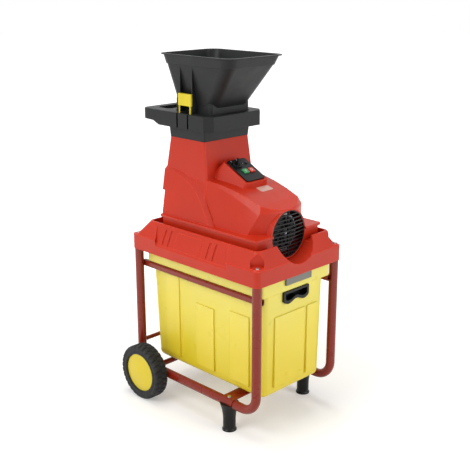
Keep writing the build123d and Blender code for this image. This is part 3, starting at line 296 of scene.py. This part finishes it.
# ---------------------------------------------------------------- mesh helpers
def add_piece(name, verts, faces, finish, body, smooth=None):
    """Mesh piece riding on a body. It has one material slot holding its finish,
    and smooth is the angle above which an edge is sharp."""
    mesh = bpy.data.meshes.new(name)
    mesh.from_pydata([tuple(v) for v in verts], [], faces)
    mesh.validate()
    work = bmesh.new()
    work.from_mesh(mesh)
    bmesh.ops.recalc_face_normals(work, faces=work.faces)
    work.to_mesh(mesh)
    work.free()
    if smooth is not None:
        mesh.shade_smooth()
        mesh.set_sharp_from_angle(angle=smooth)
    mesh.materials.append(finishes[finish])
    piece = bpy.data.objects.new(name, mesh)
    bpy.context.scene.collection.objects.link(piece)
    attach(piece, body)
    return piece


def ring_faces(rows, columns, close_rows=True, close_columns=True):
    """Quads over a grid of rows and columns that may close on itself either way."""
    faces = []
    for i in range(rows if close_rows else rows - 1):
        for j in range(columns if close_columns else columns - 1):
            a, b = i * columns, (i + 1) % rows * columns
            k = (j + 1) % columns
            faces.append((a + j, a + k, b + k, b + j))
    return faces


def slab(name, outline, place, across, up, height, finish, body, inner=None):
    """Low raised shape on a surface: an outline in the plane of across and up, solid or a ring."""
    out = across.cross(up)
    loops = [outline] + ([inner] if inner else [])
    count = len(outline)
    verts = [
        place + across * u + up * v + out * h for h in (0.0, height) for loop in loops for u, v in loop
    ]
    if inner:
        rows = ((0, 1), (1, 3), (3, 2), (2, 0))
        faces = [
            (a * count + j, a * count + (j + 1) % count, b * count + (j + 1) % count, b * count + j)
            for a, b in rows
            for j in range(count)
        ]
    else:
        faces = [tuple(range(count)), tuple(range(count, 2 * count))]
        faces += [(j, (j + 1) % count, count + (j + 1) % count, count + j) for j in range(count)]
    return add_piece(name, verts, faces, finish, body)


def circle(radius, steps=32):
    turns = [2 * pi * i / steps for i in range(steps)]
    return [(radius * cos(t), radius * sin(t)) for t in turns]


def stadium(length, width, turn=0.0, steps=8):
    """Outline of a bar with round ends, turned in its plane."""
    points = []
    for end in (1, -1):
        for i in range(steps + 1):
            t = pi * i / steps + (0 if end > 0 else pi)
            points.append((width / 2 * cos(t), end * (length - width) / 2 + width / 2 * sin(t)))
    return [(u * cos(turn) - v * sin(turn), u * sin(turn) + v * cos(turn)) for u, v in points]


# ---------------------------------------------------------------- tyres
def make_tyre(side):
    """Tyre with two staggered rows of tread blocks that wrap over its shoulders."""
    node = f"tyre_{side}"
    low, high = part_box(node)
    centre = (low + high) / 2
    outer = (high.z - low.z) / 2
    half = (high.x - low.x) / 2
    rim_low, rim_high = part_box(f"rim_{side}")
    inner = (rim_high.z - rim_low.z) / 2
    shoulder = 7.0 * MM
    groove = 2.6 * MM
    pitches, steps = 30, 12
    profile = [(-half + 1.5 * MM, inner), (-half, inner + 2 * MM), (-half, inner + 6 * MM)]
    profile += [(-half + 0.8 * MM, inner + 7 * MM), (-half + 0.8 * MM, outer - shoulder - 3 * MM)]
    profile += [(-half, outer - shoulder - 2 * MM)]
    for i in range(6):
        t = pi / 2 * i / 5
        profile.append((-half + shoulder * (1 - cos(t)), outer - shoulder + shoulder * sin(t)))
    profile += [(x * MM, outer) for x in (-10.0, -6.0, -2.2, -1.0)]
    profile += [(-x, r) for x, r in reversed(profile)]
    verts = []
    rows = pitches * steps
    for i in range(rows):
        turn = 2 * pi * i / rows
        for x, r in profile:
            phase = (i / steps + (0.5 if x > 0 else 0.0) + abs(x) / half * 0.35) % 1.0
            on_tread = r > outer - shoulder * 0.75
            cut = groove if on_tread and (phase < 0.28 or abs(x) < 1.5 * MM) else 0.0
            verts.append(centre + Vector((x, (r - cut) * sin(turn), (r - cut) * cos(turn))))
    faces = ring_faces(rows, len(profile))
    tyre = add_piece(f"{node}_tread", verts, faces, "tyre_black", f"wheel_{side}", 0.7)
    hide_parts(node)


# ---------------------------------------------------------------- controls and labels
panel_slope = radians(PANEL_SLOPE)
panel_across = Vector((1, 0, 0))
panel_up = Vector((0, cos(panel_slope), sin(panel_slope)))
panel_out = panel_across.cross(panel_up)


def top_of(node):
    """Middle of the face of a node that looks out of the control panel."""
    points = [v.co.copy() for v in frame["nodes"][node].data.vertices]
    top = max(p.dot(panel_out) for p in points)
    face = [p for p in points if p.dot(panel_out) > top - 0.1 * MM]
    across = [p.dot(panel_across) for p in face]
    up = [p.dot(panel_up) for p in face]
    middle_across = (min(across) + max(across)) / 2
    middle_up = (min(up) + max(up)) / 2
    return panel_across * middle_across + panel_up * middle_up + panel_out * top


def panel_mark(name, outline, node, body, finish="mark_white", offset=(0.0, 0.0), inner=None):
    """Mark on the face of a control, set off across and up from the face's middle."""
    place = top_of(node) + panel_across * offset[0] + panel_up * offset[1] - panel_out * 0.05 * MM
    return slab(name, outline, place, panel_across, panel_up, 0.3 * MM, finish, body, inner)


def make_marks():
    """A bar and a ring on the start and stop buttons, a line on the knob and ticks round it."""
    panel_mark("start_mark", stadium(8 * MM, 1.6 * MM), "start_button", "start_body")
    panel_mark("stop_mark", circle(4 * MM), "stop_button", "stop_body", inner=circle(2.7 * MM))
    knob = top_of("direction_knob")
    panel_mark("knob_line", stadium(10 * MM, 1.6 * MM, radians(KNOB_TURN)), "direction_knob",
               "dial_body", "mark_silver", (-3.4 * MM, 6.0 * MM))
    plate = top_of("control_panel")
    to_knob = knob - plate
    u, v = to_knob.dot(panel_across), to_knob.dot(panel_up)
    for i, turn in enumerate(KNOB_TICKS):
        angle = radians(turn)
        place = (u - TICK_RADIUS * sin(angle), v + TICK_RADIUS * cos(angle))
        tick = stadium(5 * MM, 1.2 * MM, angle)
        panel_mark(f"knob_tick_{i}", tick, "control_panel", "root", offset=place)


def make_label(name, node, x_span, y_span, finish, body, lift=0.35 * MM, columns=12, rows=8):
    """Blank label that follows the top of a node between two spans in X and Y."""
    target = frame["nodes"][node]
    corner = 3.0 * MM
    grid = []
    for i in range(rows + 1):
        for j in range(columns + 1):
            x = x_span[0] + (x_span[1] - x_span[0]) * j / columns
            y = y_span[0] + (y_span[1] - y_span[0]) * i / rows
            in_x = min(x - x_span[0], x_span[1] - x)
            if i in (0, rows):
                x += corner * (1 if j == 0 else -1 if j == columns else 0)
            if in_x == 0 and i in (1, rows - 1):
                x += 0.3 * corner * (1 if j == 0 else -1)
            _, place, normal, _ = target.ray_cast(Vector((x, y, 0.8)), Vector((0, 0, -1)))
            grid.append(place + normal * lift)
    verts = grid + [p - Vector((0, 0, 0.5 * MM)) for p in grid]
    wide = columns + 1
    count = len(grid)
    top = ring_faces(rows + 1, wide, False, False)
    faces = top + [tuple(count + k for k in reversed(face)) for face in top]
    border = list(range(wide)) + [wide * i + columns for i in range(1, rows + 1)]
    border += [rows * wide + j for j in range(columns - 1, -1, -1)]
    border += [wide * i for i in range(rows - 1, 0, -1)]
    for a, b in zip(border, border[1:] + border[:1]):
        faces.append((a, b, count + b, count + a))
    return add_piece(name, verts, faces, finish, body, 0.6)


finishes["mark_white"] = moulded("mark_white", "E8E8E4", 0.45, 900.0, 0.00002, 0.0003, 1.05)
finishes["mark_silver"] = steel("mark_silver", "D2D4D6", 0.3, tone=0.05)
finishes["label_blank"] = moulded("label_blank", "CFA394", 0.3, 300.0, 0.00002, 0.0003, 1.1)

for side in ("left", "right"):
    make_tyre(side)
make_marks()
make_label("hood_label", "housing", LABEL_X, LABEL_Y, "label_blank", "root")


# ---------------------------------------------------------------- studio
def seen_rays(tree):
    """Socket that is 1 for rays that show a surface and 0 for rays that only light one."""
    rays = tree.nodes.new("ShaderNodeLightPath")
    seen = rays.outputs["Is Camera Ray"]
    for kind in ("Is Glossy Ray", "Is Transmission Ray"):
        either = tree.nodes.new("ShaderNodeMath")
        either.operation = "MAXIMUM"
        tree.links.new(seen, either.inputs[0])
        tree.links.new(rays.outputs[kind], either.inputs[1])
        seen = either.outputs[0]
    return seen


def white_material(name, base, glow):
    """Matt surface that is also seen glowing, more so further out, so that it ends up white
    but keeps the shadow near the machine."""
    n = Nodes(name)
    tint = n.ramp(n.noise(1.5, 2.0), [(0.3, base), (0.7, shade(base, 1.01))])
    diffuse = n.add("BsdfDiffuse")
    n.link(tint, diffuse.inputs["Color"])
    seen = seen_rays(n.tree)
    away = n.add("VectorMath", operation="LENGTH")
    n.link(n.place, away.inputs[0])
    power = n.add("Math", operation="MULTIPLY")
    n.link(n.span(away.outputs["Value"], 0.45, 1.5, glow, 0.9), power.inputs[1])
    n.link(seen, power.inputs[0])
    emission = n.add("Emission")
    n.link(power.outputs[0], emission.inputs["Strength"])
    both = n.add("AddShader")
    n.link(diffuse.outputs[0], both.inputs[0])
    n.link(emission.outputs[0], both.inputs[1])
    n.link(both.outputs[0], n.output.inputs["Surface"])
    return n.material


def make_floor(half=14.0):
    mesh = bpy.data.meshes.new("floor")
    corners = [(-half, -half, 0), (half, -half, 0), (half, half, 0), (-half, half, 0)]
    mesh.from_pydata(corners, [], [(0, 1, 2, 3)])
    mesh.materials.append(white_material("floor_white", (0.80, 0.79, 0.77), 0.30))
    floor = bpy.data.objects.new("floor", mesh)
    bpy.context.scene.collection.objects.link(floor)


def make_world(strength=0.45):
    """White where it is seen, and dimmer as a light."""
    world = bpy.data.worlds.new("studio")
    bpy.context.scene.world = world
    world.use_nodes = True
    tree = world.node_tree
    tree.nodes.clear()
    output = tree.nodes.new("ShaderNodeOutputWorld")
    mix = tree.nodes.new("ShaderNodeMixShader")
    tree.links.new(seen_rays(tree), mix.inputs["Fac"])
    for slot, power in ((1, strength), (2, 1.0)):
        light = tree.nodes.new("ShaderNodeBackground")
        light.inputs["Color"].default_value = (1, 1, 1, 1)
        light.inputs["Strength"].default_value = power
        tree.links.new(light.outputs[0], mix.inputs[slot])
    tree.links.new(mix.outputs[0], output.inputs["Surface"])


def area_light(name, place, target, size, watts):
    data = bpy.data.lights.new(name, "AREA")
    data.shape = "RECTANGLE"
    data.size, data.size_y = size
    data.energy = watts
    lamp = bpy.data.objects.new(name, data)
    lamp.location = place
    lamp.rotation_euler = (Vector(target) - Vector(place)).to_track_quat("-Z", "Y").to_euler()
    bpy.context.scene.collection.objects.link(lamp)


def make_camera():
    """Camera at the front left corner, above the hopper's height, looking slightly down."""
    place = Vector((-1.617788, -1.615599, 1.186040))
    yaw, pitch = 0.788701, 0.295986
    ahead = Vector((sin(yaw) * cos(pitch), cos(yaw) * cos(pitch), -sin(pitch)))
    data = bpy.data.cameras.new("camera")
    data.lens = 65.655
    data.sensor_width = 36.0
    camera = bpy.data.objects.new("camera", data)
    camera.location = place
    camera.rotation_euler = ahead.to_track_quat("-Z", "Y").to_euler()
    bpy.context.scene.collection.objects.link(camera)
    bpy.context.scene.camera = camera


make_floor()
make_world()
middle = (0, 0, 0.5)
area_light("key", (-2.8, 0.3, 2.2), middle, (1.8, 1.8), 50)
area_light("front_fill", (0.9, -3.0, 1.3), middle, (1.6, 2.0), 33)
area_light("top", (0.1, 0.3, 3.2), middle, (1.8, 1.8), 43)
make_camera()
bpy.context.scene.view_settings.view_transform = "Standard"
